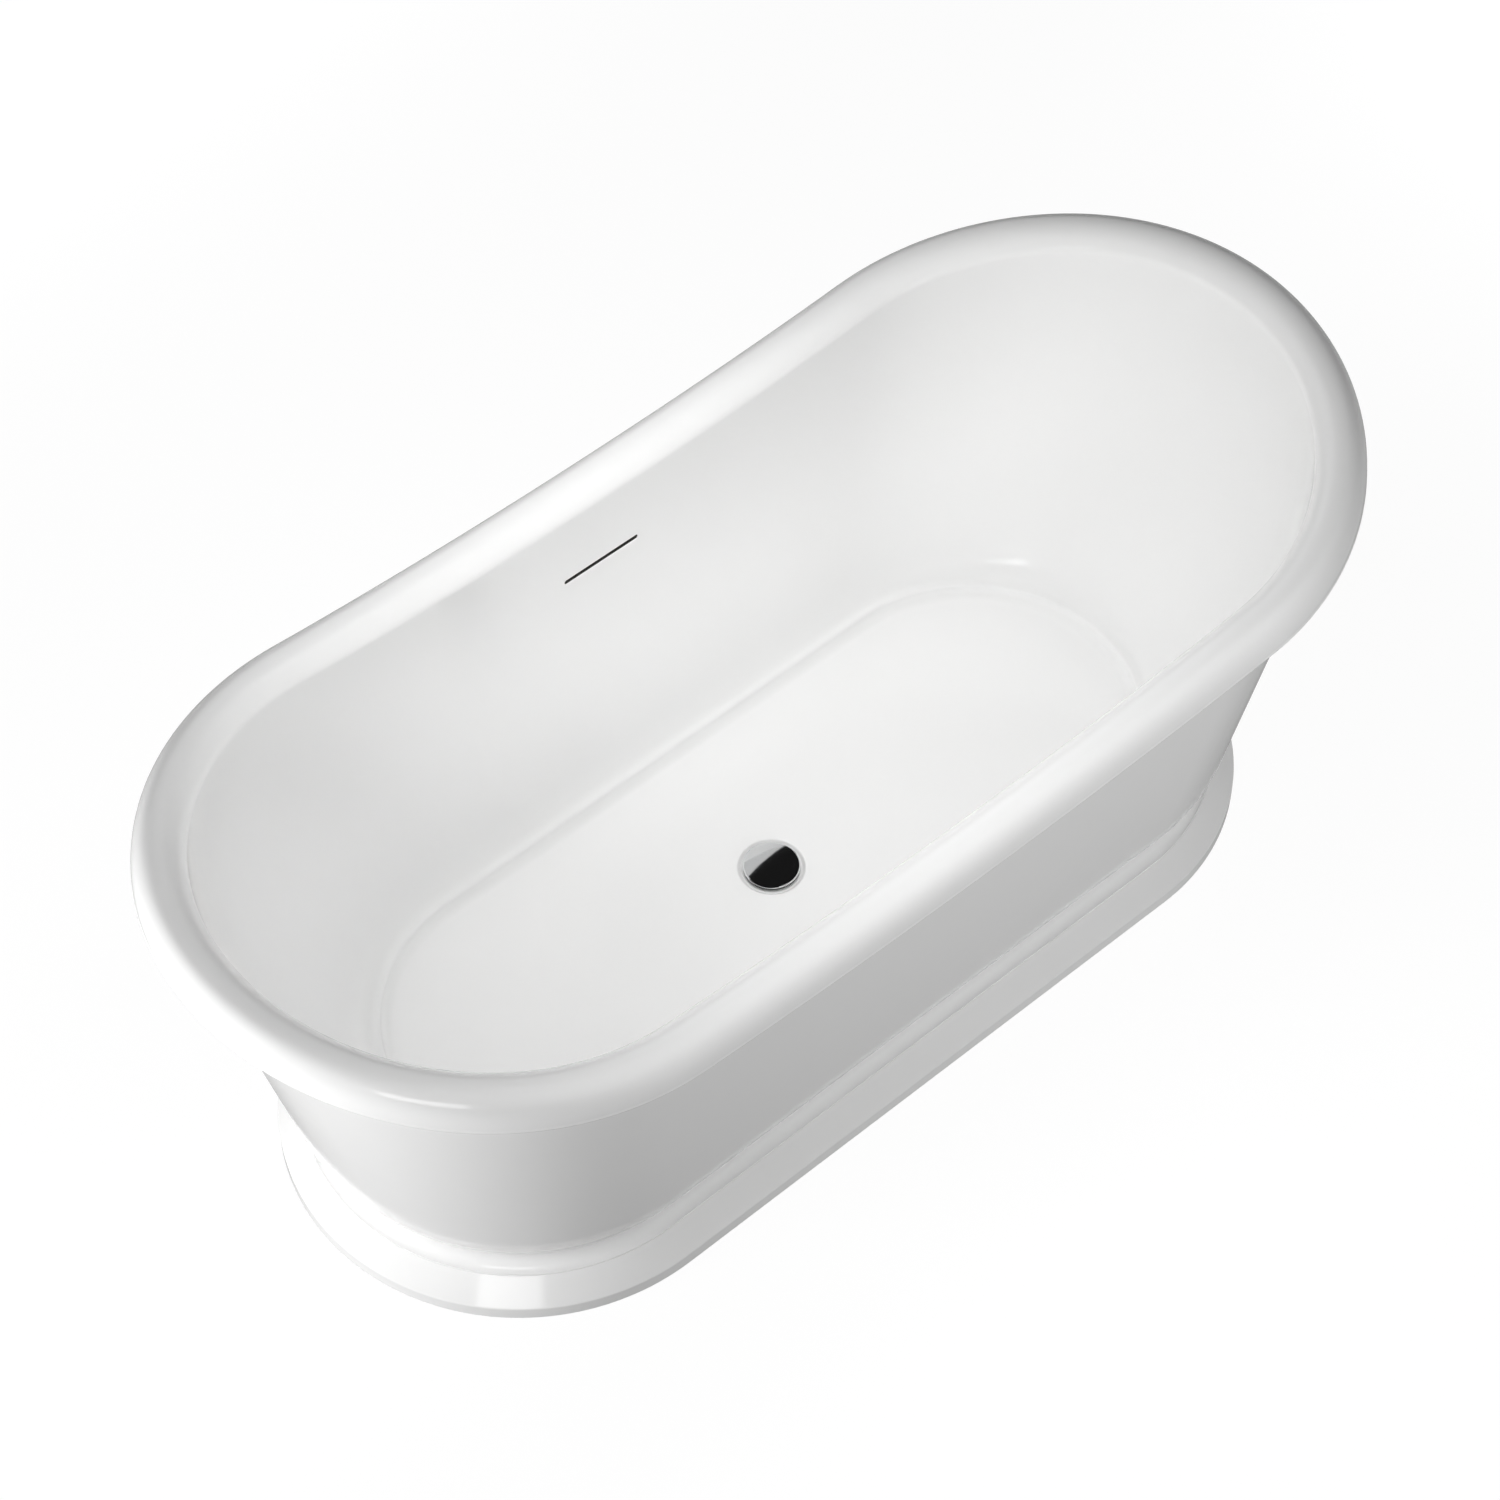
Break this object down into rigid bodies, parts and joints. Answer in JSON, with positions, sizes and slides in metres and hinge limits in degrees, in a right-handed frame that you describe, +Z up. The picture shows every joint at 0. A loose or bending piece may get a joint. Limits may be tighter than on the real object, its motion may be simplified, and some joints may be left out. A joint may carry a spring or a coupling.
{
  "type": "freestanding bathtub",
  "caption": "Double-ended freestanding bathtub with a rolled, dipping rim, an outer skirt on a stepped plinth, a pop-up centre waste and a slot overflow.",
  "frame": {"origin": "middle of the footprint, on the floor", "axes": "+X along the tub, +Y across it towards the wall with the overflow slot, +Z up"},
  "size_m": [1.7, 0.791, 0.6525],
  "materials": {
    "acrylic": "glossy white sanitary acrylic",
    "adhesive": "cured bonding adhesive",
    "board": "resin-sealed particle board",
    "frame_steel": "white-grey powder coat",
    "zinc_steel": "bright zinc plate",
    "black_plastic": "moulded matt plastic",
    "chrome": "polished chrome plate",
    "rubber": "soft black rubber",
    "white_plastic": "moulded polypropylene",
    "grey_hose": "flexible plastic hose"
  },
  "bodies": {
    "tub": {"basin": "acrylic", "skirt": "acrylic", "plinth": "acrylic", "rim_bead": "adhesive", "floor_board": "board", "rail_front": "frame_steel", "rail_back": "frame_steel", "crossbar_1": "frame_steel", "crossbar_2": "frame_steel", "crossbar_3": "frame_steel", "crossbar_4": "frame_steel", "frame_tabs": "frame_steel", "tab_screws": "zinc_steel", "weld_nuts": "zinc_steel", "lock_nuts": "zinc_steel", "waste_flange": "chrome", "flange_gasket": "rubber", "waste_seal": "rubber", "waste_washer": "zinc_steel", "waste_nut": "white_plastic", "waste_body": "white_plastic", "plug_guide": "white_plastic", "click_cartridge": "white_plastic", "plug_spring": "zinc_steel", "overflow_duct": "white_plastic", "duct_gasket": "rubber", "overflow_hose": "grey_hose", "hose_clips": "zinc_steel"},
    "plug": {"plug_cap": "chrome", "plug_seal": "rubber", "plug_stem": "zinc_steel"},
    "foot_1": {"foot_stud_1": "zinc_steel", "foot_pad_1": "black_plastic"},
    "foot_2": {"foot_stud_2": "zinc_steel", "foot_pad_2": "black_plastic"},
    "foot_3": {"foot_stud_3": "zinc_steel", "foot_pad_3": "black_plastic"},
    "foot_4": {"foot_stud_4": "zinc_steel", "foot_pad_4": "black_plastic"},
    "foot_5": {"foot_stud_5": "zinc_steel", "foot_pad_5": "black_plastic"},
    "foot_6": {"foot_stud_6": "zinc_steel", "foot_pad_6": "black_plastic"}
  },
  "joints": [
    {"name": "plug_lift", "type": "slide", "parent": "tub", "child": "plug", "axis": [0, 0, 1], "range_m": [0, 0.0095], "deforming": ["plug_spring"]},
    {"name": "foot_1_screw", "type": "slide", "parent": "tub", "child": "foot_1", "axis": [0, 0, -1], "range_m": [-0.006, 0.015]},
    {"name": "foot_2_screw", "type": "slide", "parent": "tub", "child": "foot_2", "axis": [0, 0, -1], "range_m": [-0.006, 0.015]},
    {"name": "foot_3_screw", "type": "slide", "parent": "tub", "child": "foot_3", "axis": [0, 0, -1], "range_m": [-0.006, 0.015]},
    {"name": "foot_4_screw", "type": "slide", "parent": "tub", "child": "foot_4", "axis": [0, 0, -1], "range_m": [-0.006, 0.015]},
    {"name": "foot_5_screw", "type": "slide", "parent": "tub", "child": "foot_5", "axis": [0, 0, -1], "range_m": [-0.006, 0.015]},
    {"name": "foot_6_screw", "type": "slide", "parent": "tub", "child": "foot_6", "axis": [0, 0, -1], "range_m": [-0.006, 0.015]}
  ]
}
